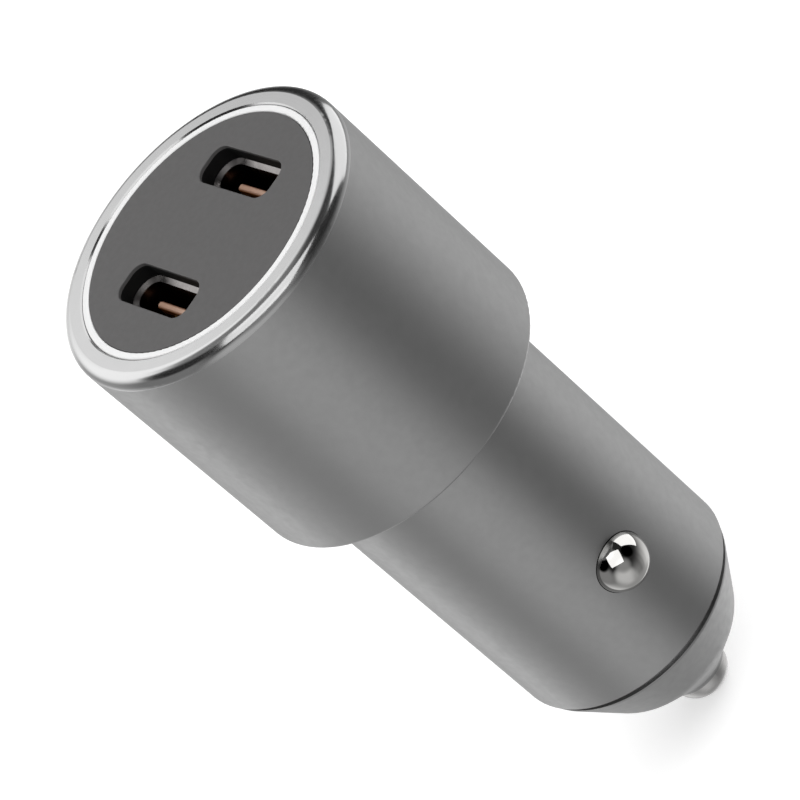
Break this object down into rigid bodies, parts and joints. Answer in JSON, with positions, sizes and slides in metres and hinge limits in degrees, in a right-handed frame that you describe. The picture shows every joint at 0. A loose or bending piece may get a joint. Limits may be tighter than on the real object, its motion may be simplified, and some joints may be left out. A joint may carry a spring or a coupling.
{
  "type": "car usb charger plug",
  "caption": "Round charger plug for a 12 V car socket: stepped satin metal body, lit ring round a dark face with USB-C ports, sprung side contacts and a sprung tip.",
  "frame": {"origin": "on the plug's axis, in the plane of the shoulder that stops against the socket's rim", "axes": "+Z out of the face, away from the socket; +X along the ports' long side, through one side contact; +Y from one port to the other"},
  "size_m": [0.027, 0.027, 0.0654],
  "materials": {
    "satin_aluminium": "bead blasted, anodised grey",
    "polished_aluminium": "polished",
    "light_diffuser": "milky, light passes through",
    "panel_plastic": "fine matt",
    "black_plastic": "moulded",
    "orange_plastic": "moulded",
    "shell_steel": "pressed, nickel plated",
    "gold_plate": "gold plated",
    "nickel_plate": "nickel plated, polished",
    "nose_plastic": "satin, metal grey",
    "board_laminate": "solder mask",
    "ferrite": "pressed",
    "can_aluminium": "drawn",
    "chip_resin": "moulded",
    "fuse_ceramic": "fired",
    "led_resin": "moulded",
    "brass": "pressed",
    "spring_steel": "drawn wire"
  },
  "bodies": {
    "charger": {"housing": "satin_aluminium", "bezel_ring": "polished_aluminium", "light_ring": "light_diffuser", "front_panel": "panel_plastic", "port_carrier": "black_plastic", "port_board": "board_laminate", "ring_leds": "led_resin", "usb_shell_upper": "shell_steel", "usb_shell_lower": "shell_steel", "usb_tongue_upper": "orange_plastic", "usb_tongue_lower": "orange_plastic", "usb_contacts_upper": "gold_plate", "usb_contacts_lower": "gold_plate", "main_board": "board_laminate", "inductor_upper": "ferrite", "inductor_lower": "ferrite", "output_capacitor_upper": "can_aluminium", "output_capacitor_lower": "can_aluminium", "input_capacitor": "can_aluminium", "controller_chip_upper": "chip_resin", "controller_chip_lower": "chip_resin", "input_fuse": "fuse_ceramic", "contact_block_right": "black_plastic", "contact_block_left": "black_plastic", "ground_terminal_right": "brass", "ground_terminal_left": "brass", "side_spring_right": "spring_steel", "side_spring_left": "spring_steel", "nose_cap": "nose_plastic", "tip_terminal": "brass", "tip_spring": "spring_steel"},
    "side_plunger_right": {"side_contact_right": "nickel_plate"},
    "side_plunger_left": {"side_contact_left": "nickel_plate"},
    "tip_plunger": {"tip_contact": "nickel_plate"}
  },
  "joints": [
    {"name": "tip_plunge", "type": "slide", "parent": "charger", "child": "tip_plunger", "axis": [0, 0, 1], "range_m": [0, 0.0018], "stiffness_N_per_m": 800, "springref_m": -0.0025, "deforming": ["tip_spring"]},
    {"name": "side_plunge_right", "type": "slide", "parent": "charger", "child": "side_plunger_right", "axis": [-1, 0, 0], "range_m": [0, 0.0017], "stiffness_N_per_m": 1000, "springref_m": -0.0015, "deforming": ["side_spring_right"]},
    {"name": "side_plunge_left", "type": "slide", "parent": "charger", "child": "side_plunger_left", "axis": [1, 0, 0], "range_m": [0, 0.0017], "stiffness_N_per_m": 1000, "springref_m": -0.0015, "deforming": ["side_spring_left"]}
  ]
}
